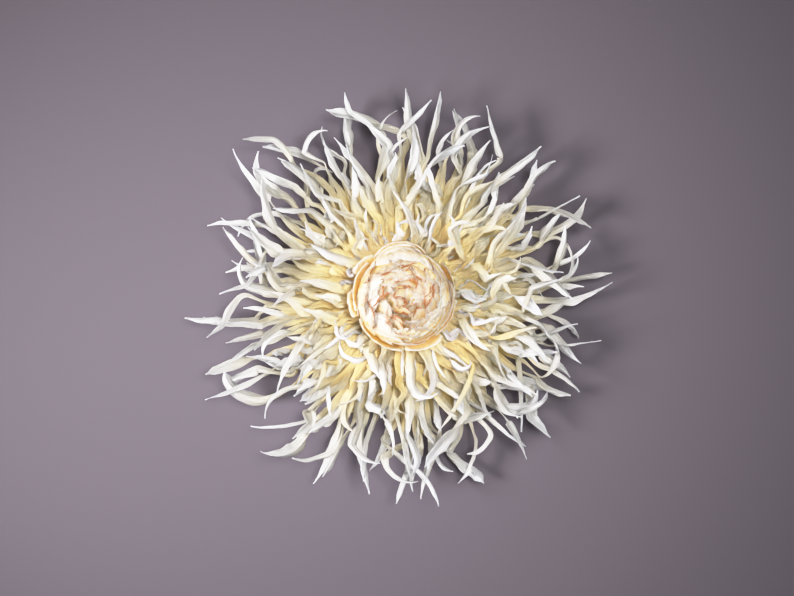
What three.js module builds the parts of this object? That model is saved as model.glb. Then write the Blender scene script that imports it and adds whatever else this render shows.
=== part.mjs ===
// Giant paper flower for a wall: a crepe-paper bud inside four tiers of petals. Each petal is one strip
// of crepe paper, whole at its foot and cut into pointed, twisted fingers, glued to a round board.
// Millimetres, +Z up. The flower faces -Y and hangs against a wall that lies in the XZ plane. The origin
// is the centre of the back cover's flat back face.

import * as THREE from "three";

const COVER_RADIUS = 80;
const COVER_THICKNESS = 1.6;
const BOARD_RADIUS = 106;
const BOARD_THICKNESS = 5;
const WIRE_RADIUS = 1;
const CREPE_THICKNESS = 0.6; // two sheets of creased crepe, glued together
const GLUE_GAP = 0.3;

// The bud's foam ball, cut flat where it meets the board. Heights are over the board's front.
const BALL_RADIUS = 56;
const BALL_HEIGHT = 54;

const WIRE_Y = -(COVER_THICKNESS + GLUE_GAP + WIRE_RADIUS);
const BOARD_BACK_Y = WIRE_Y - WIRE_RADIUS - GLUE_GAP;
const BOARD_FRONT_Y = BOARD_BACK_Y - BOARD_THICKNESS;
const SEAT_HEIGHT = GLUE_GAP + CREPE_THICKNESS / 2; // middle of a sheet that is glued to the board

// Tiers from the wall forward. A petal's foot is glued flat between footRadius and liftRadius. From there
// its middle line is an arc, whose slope to the board goes from the first angle to the second over
// bendLength. It is footWidth wide where it is gathered, and fullWidth where its fingers start. lengths
// are the arcs of one petal after another, anticlockwise from +X, and repeat if there are fewer of them.
const TIERS = [
  {
    name: "outer_petal",
    petals: 12,
    fingers: 4,
    footRadius: 88,
    liftRadius: 105,
    lengths: [246, 240, 242, 252, 258, 268, 256, 266, 242, 245, 235, 232],
    bendLength: 250,
    slopes: [5, 10],
    footWidth: 44,
    fullWidth: 70,
    start: 0,
    color: 0xf1eef0,
  },
  {
    name: "second_petal",
    petals: 10,
    fingers: 4,
    footRadius: 72,
    liftRadius: 82,
    lengths: [244, 236],
    bendLength: 244,
    slopes: [22, 13],
    footWidth: 41,
    fullWidth: 66,
    start: 0.5,
    color: 0xf0ebda,
  },
  {
    name: "third_petal",
    petals: 8,
    fingers: 4,
    footRadius: 59,
    liftRadius: 69,
    lengths: [216, 204],
    bendLength: 216,
    slopes: [42, 24],
    footWidth: 40,
    fullWidth: 64,
    start: 0.2,
    color: 0xece2bd,
  },
  {
    name: "inner_petal",
    petals: 7,
    fingers: 3,
    footRadius: 46,
    liftRadius: 57,
    lengths: [190],
    bendLength: 190,
    slopes: [82, 24],
    footWidth: 38,
    fullWidth: 60,
    start: 0.6,
    color: 0xe8d79c,
  },
];

const STRIP_STEPS = 3; // rows of facets along the whole part of a petal, past its foot
const FINGER_STEPS = 6;
const WHOLE_SHARE = 0.38; // share of the arc where the strip isn't cut
const WHOLE_VARIATION = 0.03; // most that this share differs from petal to petal
const STRIP_CUP = 5; // how far a strip's long edges curl forward
const FINGER_TWIST = 120; // most that a finger turns about its own length, in degrees
const FINGER_LIFT = 14; // most that a finger's tip rises above its tier or falls below it
const FINGER_SHORTENING = 0.1; // most that a finger ends short of its petal's length, as a share of its own
const FINGER_SWAY = 0.35; // most that a tip strays to the side, as a share of its lane
const LANE_SHARE = 0.92; // share of a petal's sector that its fingers fan out over
const FAN_END = 0.8; // share of a finger where it reaches its own lane
const TWIST_SPAN = [0.05, 0.9]; // share of a finger where its twist starts and ends
const TIP_WIDTH = 1.2;

// A finger's outline: its neck is drawn in by a share of its width and ends at a share of its length. It
// then narrows a little, and from pointStart runs to a point.
const OUTLINE = { neckDepth: 0.22, neckEnd: 0.3, narrowing: 0.06, pointStart: 0.45, pointCurve: 1.6 };

// Rings of cupped petals round the ball, from the outside in. Angles are taken at the ball's centre from
// the flower's axis: a petal is glued at footAngle and ends at rimAngle.
const BUD_RINGS = [
  {
    name: "bud_cup",
    petals: 7,
    footAngle: 86,
    rimAngle: 40,
    footRadius: 60.5,
    rimRadius: 91,
    start: 0.25,
    color: 0xf3e2b4,
  },
  {
    name: "bud_ring",
    petals: 5,
    footAngle: 54,
    rimAngle: 29,
    footRadius: 60.5,
    rimRadius: 84,
    start: 0.5,
    color: 0xf8efe2,
  },
  {
    name: "bud_inner",
    petals: 4,
    footAngle: 33,
    rimAngle: 14,
    footRadius: 60,
    rimRadius: 83,
    start: 0.1,
    color: 0xf4dcc6,
  },
];

const BUD_OVERLAP = 1.22; // a bud petal's width as a share of its sector, so each covers part of the next
const BUD_TUCK = 3; // how far one side of a bud petal stands out, and the other side in
const BUD_ROUNDING = 6; // degrees by which a bud petal's corners end short of its middle
const BUD_SWELL = 2.5; // higher makes a bud petal stand out sooner above its foot
const BUD_FOOT_SHARE = 0.78; // a bud petal's width at its foot, as a share of its full width
const BUD_COLUMNS = 6;
const BUD_ROWS = 4;

// The heart is a strip rolled up from the first radius to the second. It gets lower by a share towards its
// outer end, its free edge waves by a share of its height, and it flares by a share of its radius.
const HEART_TURNS = 2.1;
const HEART_RADII = [3, 15];
const HEART_HEIGHT = 24;
const HEART_LOWERING = 0.25;
const HEART_WAVE = 0.08;
const HEART_WAVES_PER_RADIAN = 5;
const HEART_FLARE = 0.12;
const HEART_STEPS = 28;
const HEART_ROWS = 2;

const BALL_STEPS = 12;
const BALL_SEGMENTS = 24;
const DISC_SEGMENTS = 48;

// One side of the hanging loop, from its glued end up to the eye, and the top of the eye: X and Z.
const LOOP_SIDE = [
  [34, 26],
  [16, 66],
  [2.3, 104],
  [7.6, 114],
  [5.4, 122],
];
const LOOP_TOP = 125;
const LOOP_STEPS = 48;
const WIRE_SEGMENTS = 8;

// Multipliers that scatter the values of vary(); they stand for nothing on the flower.
const SCATTER = { piece: 12.9898, trait: 78.233, wave: 43758.5453 };

// Repeatable variation between -1 and 1, different for each pair of whole numbers.
function vary(piece, trait) {
  const wave = Math.sin(piece * SCATTER.piece + trait * SCATTER.trait) * SCATTER.wave;
  return 2 * (wave - Math.floor(wave)) - 1;
}

// A closed sheet of even thickness. points are on its middle surface, and each cell lists the numbers of
// four points, anticlockwise seen from the front.
function sheetGeometry(points, cells, thickness) {
  const normals = points.map(() => new THREE.Vector3());
  const edges = new Map();
  for (const cell of cells) {
    const [a, b, c, d] = cell.map((number) => points[number]);
    const diagonals = [c.clone().sub(a), d.clone().sub(b)];
    const facing = diagonals[0].cross(diagonals[1]).normalize();
    cell.forEach((number, corner) => {
      normals[number].add(facing);
      edges.set(number + ">" + cell[(corner + 1) % 4], [number, cell[(corner + 1) % 4]]);
    });
  }

  const vertices = [];
  points.forEach((point, number) => {
    const half = normals[number].normalize().multiplyScalar(thickness / 2);
    vertices.push(point.clone().add(half), point.clone().sub(half));
  });

  const triangles = [];
  const front = (number) => 2 * number;
  const back = (number) => 2 * number + 1;
  for (const [a, b, c, d] of cells) {
    triangles.push(front(a), front(b), front(c), front(a), front(c), front(d));
    triangles.push(back(a), back(c), back(b), back(a), back(d), back(c));
  }
  for (const [a, b] of edges.values()) {
    if (edges.has(b + ">" + a)) continue;
    triangles.push(front(b), front(a), back(a), front(b), back(a), back(b));
  }
  return new THREE.BufferGeometry().setFromPoints(vertices).setIndex(triangles);
}

// Cells of a grid whose points are numbered row by row.
function gridCells(rows, columns) {
  const cells = [];
  for (let row = 0; row < rows; row++) {
    for (let column = 0; column < columns; column++) {
      const corner = row * (columns + 1) + column;
      cells.push([corner, corner + 1, corner + columns + 2, corner + columns + 1]);
    }
  }
  return cells;
}

// A petal's middle line at a distance from the inner end of its foot: how far it is from the flower's
// axis, how far in front of the board, and its slope.
function middleLine(tier, along) {
  const foot = tier.liftRadius - tier.footRadius;
  if (along < foot) return { radius: tier.footRadius + along, height: SEAT_HEIGHT, slope: 0 };
  const [first, last] = tier.slopes.map(THREE.MathUtils.degToRad);
  const bend = tier.bendLength / (last - first);
  const slope = first + (along - foot) / bend;
  return {
    radius: tier.liftRadius + bend * (Math.sin(slope) - Math.sin(first)),
    height: SEAT_HEIGHT + bend * (Math.cos(first) - Math.cos(slope)),
    slope,
  };
}

// Unit directions at an angle round the flower's axis, for a sheet of the given slope.
function directions(angle, slope) {
  const outward = new THREE.Vector3(Math.cos(angle), 0, Math.sin(angle));
  const forward = new THREE.Vector3(0, -1, 0);
  return {
    outward,
    forward,
    across: new THREE.Vector3(-Math.sin(angle), 0, Math.cos(angle)),
    normal: forward.clone().multiplyScalar(Math.cos(slope)).addScaledVector(outward, -Math.sin(slope)),
  };
}

function pointAt({ outward, forward }, radius, height) {
  return outward.clone().multiplyScalar(radius).addScaledVector(forward, height);
}

// A finger's width at a share of its length, beside its width where it is cut: drawn in at the neck,
// full in the middle, and ending in a point.
function fingerOutline(share) {
  const { neckDepth, neckEnd, narrowing, pointStart, pointCurve } = OUTLINE;
  const neck = 1 - neckDepth * Math.sin(Math.PI * Math.min(1, share / neckEnd));
  const point = Math.max(0, (share - pointStart) / (1 - pointStart));
  return neck * (1 + narrowing * (1 - share)) * (1 - point ** pointCurve);
}

// One petal, lying along +X. Its whole part is a grid, and each finger is a ribbon that goes on from two
// neighbouring columns of it.
function petalGeometry(tier, length, seed) {
  const foot = tier.liftRadius - tier.footRadius;
  const whole = foot + length * (WHOLE_SHARE + WHOLE_VARIATION * vary(seed, 1));
  const columns = tier.fingers;
  const points = [];

  const rows = [0, foot];
  for (let step = 1; step <= STRIP_STEPS; step++) rows.push(foot + ((whole - foot) * step) / STRIP_STEPS);
  for (const along of rows) {
    const { radius, height, slope } = middleLine(tier, along);
    const opened = THREE.MathUtils.smoothstep(along, foot, whole);
    const width = THREE.MathUtils.lerp(tier.footWidth, tier.fullWidth, opened);
    for (let column = 0; column <= columns; column++) {
      const side = column / columns - 0.5;
      const frame = directions((side * width) / radius, slope);
      const curl = STRIP_CUP * opened * 4 * side * side;
      points.push(pointAt(frame, radius, height).addScaledVector(frame.normal, curl));
    }
  }
  const cells = gridCells(rows.length - 1, columns);

  const cutRow = (rows.length - 1) * (columns + 1);
  const cutAngle = tier.fullWidth / middleLine(tier, whole).radius;
  const fanAngle = (LANE_SHARE * 2 * Math.PI) / tier.petals;
  const fingerWidth = tier.fullWidth / columns;
  for (let finger = 0; finger < columns; finger++) {
    const lane = (finger + 0.5) / columns - 0.5;
    const trait = 10 * (finger + 1);
    const reach = (foot + length - whole) * (1 - FINGER_SHORTENING * Math.abs(vary(seed, trait)));
    const twist = THREE.MathUtils.degToRad(FINGER_TWIST * vary(seed, trait + 1));
    const lift = FINGER_LIFT * vary(seed, trait + 2);
    const sway = ((FINGER_SWAY * fanAngle) / columns) * vary(seed, trait + 3);
    let last = [cutRow + finger, cutRow + finger + 1];
    for (let step = 1; step <= FINGER_STEPS; step++) {
      const share = step / FINGER_STEPS;
      const { radius, height, slope } = middleLine(tier, whole + reach * share);
      const fan = THREE.MathUtils.smoothstep(share, 0, FAN_END);
      const angle = lane * THREE.MathUtils.lerp(cutAngle, fanAngle, fan) + sway * share;
      const frame = directions(angle, slope);
      const turned = twist * THREE.MathUtils.smoothstep(share, ...TWIST_SPAN);
      const edge = frame.across.multiplyScalar(Math.cos(turned));
      edge.addScaledVector(frame.normal, Math.sin(turned));
      const curl = STRIP_CUP * 4 * lane * lane;
      const middle = pointAt(frame, radius, height + lift * share * share);
      middle.addScaledVector(frame.normal, curl);
      const half = Math.max(TIP_WIDTH, fingerWidth * fingerOutline(share)) / 2;
      const next = [points.length, points.length + 1];
      points.push(middle.clone().addScaledVector(edge, -half));
      points.push(middle.clone().addScaledVector(edge, half));
      cells.push([last[0], last[1], next[1], next[0]]);
      last = next;
    }
  }
  return sheetGeometry(points, cells, CREPE_THICKNESS);
}

// One cupped petal of the bud, round +X, about the ball's centre.
function budPetalGeometry(ring, seed) {
  const spread = (BUD_OVERLAP * Math.PI) / ring.petals;
  const points = [];
  for (let row = 0; row <= BUD_ROWS; row++) {
    const up = row / BUD_ROWS;
    const swell = 1 - (1 - up) ** BUD_SWELL;
    for (let column = 0; column <= BUD_COLUMNS; column++) {
      const side = (2 * column) / BUD_COLUMNS - 1;
      const rim = ring.rimAngle + BUD_ROUNDING * side * side + vary(seed, column);
      const tilt = THREE.MathUtils.degToRad(THREE.MathUtils.lerp(ring.footAngle, rim, up));
      const radius = THREE.MathUtils.lerp(ring.footRadius, ring.rimRadius, swell) + BUD_TUCK * side;
      const angle = side * spread * THREE.MathUtils.lerp(BUD_FOOT_SHARE, 1, swell);
      const frame = directions(angle, 0);
      points.push(pointAt(frame, radius * Math.sin(tilt), radius * Math.cos(tilt)));
    }
  }
  return sheetGeometry(points, gridCells(BUD_ROWS, BUD_COLUMNS), CREPE_THICKNESS);
}

// The bud's heart: a strip rolled up on the front of the ball, its free edge uneven.
function heartGeometry() {
  const points = [];
  for (let row = 0; row <= HEART_ROWS; row++) {
    for (let step = 0; step <= HEART_STEPS; step++) {
      const share = step / HEART_STEPS;
      const angle = HEART_TURNS * 2 * Math.PI * share;
      const radius = THREE.MathUtils.lerp(HEART_RADII[0], HEART_RADII[1], share);
      const up = row / HEART_ROWS;
      const seat = Math.sqrt((BALL_RADIUS + GLUE_GAP + CREPE_THICKNESS) ** 2 - radius ** 2);
      const wave = HEART_WAVE * Math.sin(HEART_WAVES_PER_RADIAN * angle);
      const top = HEART_HEIGHT * (1 - HEART_LOWERING * share + wave);
      points.push(pointAt(directions(angle, 0), radius * (1 + HEART_FLARE * up), seat + top * up));
    }
  }
  return sheetGeometry(points, gridCells(HEART_ROWS, HEART_STEPS), CREPE_THICKNESS);
}

// The foam ball, as a profile turned about the flower's axis, from its flat back to its front.
function ballGeometry() {
  const profile = [new THREE.Vector2(0, -GLUE_GAP)];
  const flat = Math.acos((BALL_HEIGHT - GLUE_GAP) / BALL_RADIUS);
  for (let step = 0; step <= BALL_STEPS; step++) {
    const angle = THREE.MathUtils.lerp(flat, Math.PI, step / BALL_STEPS);
    const radius = step === BALL_STEPS ? 0 : BALL_RADIUS * Math.sin(angle);
    profile.push(new THREE.Vector2(radius, -BALL_HEIGHT + BALL_RADIUS * Math.cos(angle)));
  }
  return new THREE.LatheGeometry(profile.reverse(), BALL_SEGMENTS);
}

// The hanging loop: a wire whose two legs lie on the board's back and close into an eye above it.
function loopGeometry() {
  const left = LOOP_SIDE.map(([x, z]) => new THREE.Vector3(-x, WIRE_Y, z));
  const right = LOOP_SIDE.map(([x, z]) => new THREE.Vector3(x, WIRE_Y, z)).reverse();
  const top = new THREE.Vector3(0, WIRE_Y, LOOP_TOP);
  const section = new THREE.Shape().absarc(0, 0, WIRE_RADIUS, 0, 2 * Math.PI, false);
  return new THREE.ExtrudeGeometry(section, {
    extrudePath: new THREE.CatmullRomCurve3([...left, top, ...right]),
    steps: LOOP_STEPS,
    curveSegments: WIRE_SEGMENTS,
    bevelEnabled: false,
  });
}

function addMesh(group, name, geometry, color, roughness) {
  const material = new THREE.MeshStandardMaterial({ color, roughness, metalness: 0 });
  const mesh = new THREE.Mesh(geometry, material);
  mesh.name = name;
  group.add(mesh);
  return mesh;
}

function disc(radius, thickness) {
  return new THREE.CylinderGeometry(radius, radius, thickness, DISC_SEGMENTS);
}

const flower = new THREE.Group();

const cover = addMesh(flower, "back_cover", disc(COVER_RADIUS, COVER_THICKNESS), 0xd8d2c4, 0.9);
cover.position.y = -COVER_THICKNESS / 2;

addMesh(flower, "hanging_loop", loopGeometry(), 0xe9e4d6, 0.85);

const board = addMesh(flower, "backing_board", disc(BOARD_RADIUS, BOARD_THICKNESS), 0xf0ece2, 0.9);
board.position.y = (BOARD_BACK_Y + BOARD_FRONT_Y) / 2;

// Everything in front of the board is placed from the board's front face.
const front = new THREE.Group();
front.position.y = BOARD_FRONT_Y;
flower.add(front);

addMesh(front, "bud_ball", ballGeometry(), 0xf4f0e6, 0.95);

TIERS.forEach((tier, level) => {
  for (let petal = 0; petal < tier.petals; petal++) {
    const length = tier.lengths[petal % tier.lengths.length];
    const geometry = petalGeometry(tier, length, 100 * (level + 1) + petal);
    const mesh = addMesh(front, tier.name + "_" + (petal + 1), geometry, tier.color, 0.85);
    mesh.rotation.y = (-2 * Math.PI * (petal + tier.start)) / tier.petals;
  }
});

const bud = new THREE.Group();
bud.position.y = -BALL_HEIGHT;
front.add(bud);

BUD_RINGS.forEach((ring, level) => {
  for (let petal = 0; petal < ring.petals; petal++) {
    const geometry = budPetalGeometry(ring, 1000 * (level + 1) + petal);
    const mesh = addMesh(bud, ring.name + "_" + (petal + 1), geometry, ring.color, 0.85);
    mesh.rotation.y = (-2 * Math.PI * (petal + ring.start)) / ring.petals;
  }
});

addMesh(bud, "bud_heart", heartGeometry(), 0xecc9ac, 0.85);

export default flower;
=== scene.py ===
"""Giant crepe-paper flower that hangs flat on a wall: its looks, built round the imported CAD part."""

import math
import random

import bpy
from mathutils import Matrix, Vector


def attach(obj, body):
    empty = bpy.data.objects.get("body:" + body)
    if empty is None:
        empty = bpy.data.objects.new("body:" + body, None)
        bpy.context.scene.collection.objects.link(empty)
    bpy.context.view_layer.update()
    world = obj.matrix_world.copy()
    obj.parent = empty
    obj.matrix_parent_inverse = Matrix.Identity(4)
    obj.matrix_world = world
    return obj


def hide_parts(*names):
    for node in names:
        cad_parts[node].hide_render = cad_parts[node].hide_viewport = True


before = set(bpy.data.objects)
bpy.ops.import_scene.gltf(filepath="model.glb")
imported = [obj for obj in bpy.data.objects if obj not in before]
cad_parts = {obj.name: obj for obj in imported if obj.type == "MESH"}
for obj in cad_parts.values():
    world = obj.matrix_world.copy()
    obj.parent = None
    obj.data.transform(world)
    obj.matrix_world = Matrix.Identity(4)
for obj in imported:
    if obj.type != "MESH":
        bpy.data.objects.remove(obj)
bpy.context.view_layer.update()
MM = 0.001


# ---------------------------------------------------------------- back cover
# A round of grey card glued over the back. It hides the ends of the wire and lies flat on the wall.
# The sheet is cut with shears, so its edge is plain; the face shows the fibres of recycled card.
def srgb(code):
    """A colour written as sRGB hex, as the linear colour that shaders use."""
    parts = [int(code[i:i + 2], 16) / 255 for i in (1, 3, 5)]
    return tuple(p / 12.92 if p <= 0.04045 else ((p + 0.055) / 1.055) ** 2.4 for p in parts) + (1.0,)


def add(tree, kind, inputs=None, stops=None, **settings):
    """Adds one node with its settings, and returns its outputs.

    Each input is a value, or the output of another node to link from."""
    made = tree.nodes.new(kind)
    for name, value in settings.items():
        setattr(made, name, value)
    for key, value in (inputs or {}).items():
        if isinstance(value, bpy.types.NodeSocket):
            tree.links.new(value, made.inputs[key])
        else:
            made.inputs[key].default_value = value
    for place, (position, colour) in enumerate(stops or ()):
        ramp = made.color_ramp.elements
        stop = ramp[place] if place < 2 else ramp.new(position)
        stop.position = position
        stop.color = srgb(colour)
    return made.outputs


def new_material(name):
    """An empty material, and its node tree."""
    made = bpy.data.materials.new(name)
    made.use_nodes = True
    made.node_tree.nodes.clear()
    return made, made.node_tree


# Recycled grey card, machine pressed: a dull flat face with short fibres and fine specks.
card, tree = new_material("grey_card_pressed")
place = add(tree, "ShaderNodeTexCoord")["Object"]
fibres = add(tree, "ShaderNodeTexNoise", {"Vector": place, "Scale": 420.0, "Detail": 6.0,
                                          "Roughness": 0.7})[0]
cloud = add(tree, "ShaderNodeTexNoise", {"Vector": place, "Scale": 22.0, "Detail": 3.0})[0]
tone = add(tree, "ShaderNodeMix", {0: 0.35, 2: fibres, 3: cloud}, data_type="FLOAT")[0]
shade = add(tree, "ShaderNodeValToRGB", {"Fac": tone}, stops=[(0.3, "#8E867B"), (0.7, "#ADA598")])[0]
relief = add(tree, "ShaderNodeBump", {"Height": fibres, "Strength": 0.25, "Distance": 0.0004})[0]
skin = add(tree, "ShaderNodeBsdfPrincipled", {"Base Color": shade, "Roughness": 0.85, "Normal": relief})[0]
add(tree, "ShaderNodeOutputMaterial", {"Surface": skin})


def repaint(node, paper):
    """Gives a CAD node its finish."""
    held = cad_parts[node].data.materials
    held.clear()
    held.append(paper)


repaint("back_cover", card)

# ---------------------------------------------------------------- hanging loop
# Florist's wire wound with white paper tape, bent into an eye. Its legs are glued under the cover.
# Matt paper tape, wound: off-white, with the fine steps of its turns.
tape, tree = new_material("paper_wound_wire")
place = add(tree, "ShaderNodeTexCoord")["Object"]
turns = add(tree, "ShaderNodeTexWave", {"Vector": place, "Scale": 90.0, "Distortion": 0.6},
            bands_direction="Z")[1]
shade = add(tree, "ShaderNodeValToRGB", {"Fac": turns}, stops=[(0.0, "#C9C3B4"), (1.0, "#E9E5DA")])[0]
relief = add(tree, "ShaderNodeBump", {"Height": turns, "Strength": 0.6, "Distance": 0.0004})[0]
skin = add(tree, "ShaderNodeBsdfPrincipled", {"Base Color": shade, "Roughness": 0.8, "Normal": relief})[0]
add(tree, "ShaderNodeOutputMaterial", {"Surface": skin})
repaint("hanging_loop", tape)

# ---------------------------------------------------------------- backing board
# A round of foam board, 5 mm thick. Every petal is glued to its front.
# White paper over fine foam, cut with a knife: smooth, slightly warm, and faintly uneven in tone.
board, tree = new_material("foam_board_cut")
place = add(tree, "ShaderNodeTexCoord")["Object"]
cells = add(tree, "ShaderNodeTexVoronoi", {"Vector": place, "Scale": 900.0})["Distance"]
cloud = add(tree, "ShaderNodeTexNoise", {"Vector": place, "Scale": 14.0, "Detail": 4.0})[0]
shade = add(tree, "ShaderNodeValToRGB", {"Fac": cloud}, stops=[(0.3, "#DDD9CF"), (0.7, "#EAE7DF")])[0]
relief = add(tree, "ShaderNodeBump", {"Height": cells, "Strength": 0.2, "Distance": 0.0003})[0]
skin = add(tree, "ShaderNodeBsdfPrincipled", {"Base Color": shade, "Roughness": 0.6, "Normal": relief})[0]
add(tree, "ShaderNodeOutputMaterial", {"Surface": skin})
repaint("backing_board", board)

# ---------------------------------------------------------------- bud ball
# A ball of white foam with a flat cut on its back, glued to the middle of the board. Hardly any of it shows.
# Expanded foam, moulded: dull and white, with beads 3 mm across that meet in fine dimples.
foam, tree = new_material("expanded_foam_moulded")
place = add(tree, "ShaderNodeTexCoord")["Object"]
beads = add(tree, "ShaderNodeTexVoronoi", {"Vector": place, "Scale": 330.0})["Distance"]
shade = add(tree, "ShaderNodeValToRGB", {"Fac": beads}, stops=[(0.2, "#F0EEE8"), (0.8, "#DEDBD3")])[0]
relief = add(tree, "ShaderNodeBump", {"Height": beads, "Strength": 0.4, "Distance": 0.0006}, invert=True)[0]
skin = add(tree, "ShaderNodeBsdfPrincipled", {"Base Color": shade, "Roughness": 0.8, "Normal": relief})[0]
add(tree, "ShaderNodeOutputMaterial", {"Surface": skin})
repaint("bud_ball", foam)

# ---------------------------------------------------------------- outer tier of petals
# Each petal is one strip of crepe paper, whole at its foot and cut into long pointed fingers, which are
# stretched, twisted and curled by hand. The paper is dyed: ochre at the foot, white at the tips.
BOARD_FRONT = 9.2           # height of the board's front over the wall, mm
SEAT = 0.6                  # glue and paper under the middle of a petal's foot, mm
STRIP_STEPS = 9             # steps along the whole part of a strip
FINGER_STEPS = 44           # points along a finger
FINGER_SPARE = 1.05         # a finger is first cut this much longer than its straight reach
SHORTEST_FINGER = 45.0      # mm
RECUT = (0.8, 1.25)         # least and most that a finger is then shortened or lengthened
UNDYED_END = 30             # the dye is spread over a strip that is this much longer, mm
CURL_POWER = 1.3            # higher leaves a hooked finger straighter until near its tip
STRIP_WIDENS = 1.4          # a strip has its full width at 1 / this of its whole part
FINGER_FREES = 4            # a finger is free of its neighbours at 1 / this of its length
FINGER_TINTS = 3            # and has its own tint at 1 / this
AIM_SPREAD = 3              # most that a finger makes for a place beside its own, degrees


def eased(keys, share):
    """Value at a share along, passing smoothly between (share, value) keys."""
    for (a, low), (b, high) in zip(keys, keys[1:]):
        if share <= b:
            x = min(max((share - a) / (b - a), 0.0), 1.0)
            return low + (high - low) * x * x * (3 - 2 * x)
    return keys[-1][1]


def directions(heading, rise, roll):
    """A sheet's way along, way across and front, for a heading in the wall's plane and a rise from it."""
    along = Vector((math.cos(rise) * math.cos(heading), math.cos(rise) * math.sin(heading), math.sin(rise)))
    level = Vector((math.sin(heading), -math.cos(heading), 0.0))
    face = level.cross(along)
    across = level * math.cos(roll) + face * math.sin(roll)
    return along, across, across.cross(along)


def finger_line(start, heading, rises, roll, length, root_half, settle, draw, style):
    """The points of one finger: place, way across, front, half width, share along it, and fold."""
    # The outline: a pinched neck, a leaf and a point, or a tongue that stays broad almost to its end.
    neck = draw.uniform(*style["neck_at"])
    leaf = draw.uniform(*style["leaf_half"])
    widest = draw.uniform(0.52, 0.72)
    tongue = draw.random() < style["tongue_share"]
    if tongue:
        widths = [(0, root_half), (0.26, root_half * 0.8), (0.6, leaf), (0.84, leaf * 0.4), (1, 0.4)]
    else:
        widths = [(0, root_half), (neck, leaf * draw.uniform(*style["pinch"])), (widest, leaf),
                  (widest + 0.18, leaf * draw.uniform(0.6, 0.85)), (1, 0.6)]
    # The bends in the sheet's plane: a kink, at times one back, and at times a hook at the tip.
    bent = draw.random() < style["bent_share"]
    kink = math.radians(draw.uniform(*style["kink"]) if bent else draw.uniform(2, 22)) * draw.choice((-1, 1))
    zigzag = kink * draw.uniform(0.4, 1.1) * (draw.random() < style["zigzag_share"])
    crisp = draw.uniform(0.02, 0.08)
    kink_at = max(neck + draw.uniform(-0.05, 0.16), crisp + 0.14)
    back_at = min(kink_at + 2 * crisp + draw.uniform(0.08, 0.25), 0.94 - crisp)
    sway = math.radians(draw.uniform(-style["sway"], style["sway"]))
    hooked = draw.random() < style["hook_share"]
    hook = math.radians(draw.uniform(*style["hook"])) * draw.choice((-1, 1)) * hooked
    hook_from = draw.uniform(0.3, 0.6)
    # The twist about its own length, the rise over the wall and the fold along its middle.
    turn = draw.uniform(*style["turn"]) * math.pi * draw.choice((-1, 1)) * (0.35 if tongue else 1)
    flutter = math.radians(draw.uniform(-50, 50))
    hump = math.radians(draw.uniform(-8, 22))
    tip_rise = math.radians(draw.uniform(*style["tip_rise"]))
    fold = draw.uniform(*style["fold"]) * draw.choice((-1, 1))
    phase = draw.uniform(0, 2 * math.pi)
    rolls = [(0, 0), (neck * 0.4, 0.12 * turn), (neck + 0.08, turn * 0.6), (widest - 0.06, turn),
             (1, turn + flutter)]
    headings = [(0, 0),
                (min(0.12, kink_at - crisp), settle),
                (kink_at - crisp, settle + sway * 0.3 - kink * 0.35),
                (kink_at + crisp, settle + kink * 0.65 + sway * 0.4),
                (back_at, settle + kink * 0.6 + sway * 0.6),
                (back_at + crisp, settle + kink * 0.6 - zigzag + sway * 0.7),
                (1, settle + kink * 0.5 - zigzag + sway)]
    levels = [(0, rises[0]),
              (max(neck, 0.16), rises[1] + hump),
              (widest, rises[1] * 0.7 + hump * 0.2 + tip_rise * 0.4),
              (1, rises[1] * 0.4 + tip_rise)]
    step = length / FINGER_STEPS
    points = []
    place = Vector(start)
    for number in range(1, FINGER_STEPS + 1):
        share = number / FINGER_STEPS
        curl = hook * max(0.0, (share - hook_from) / (1 - hook_from)) ** CURL_POWER
        way, across, front = directions(
            heading + eased(headings, share) + curl, eased(levels, share), roll + eased(rolls, share))
        place = place + way * step
        ragged = 1 + 0.07 * math.sin(phase + 17 * share) + 0.05 * math.sin(2 * phase + 31 * share)
        points.append((place.copy(), across, front, eased(widths, share) * ragged, share, fold))
    return points


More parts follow.
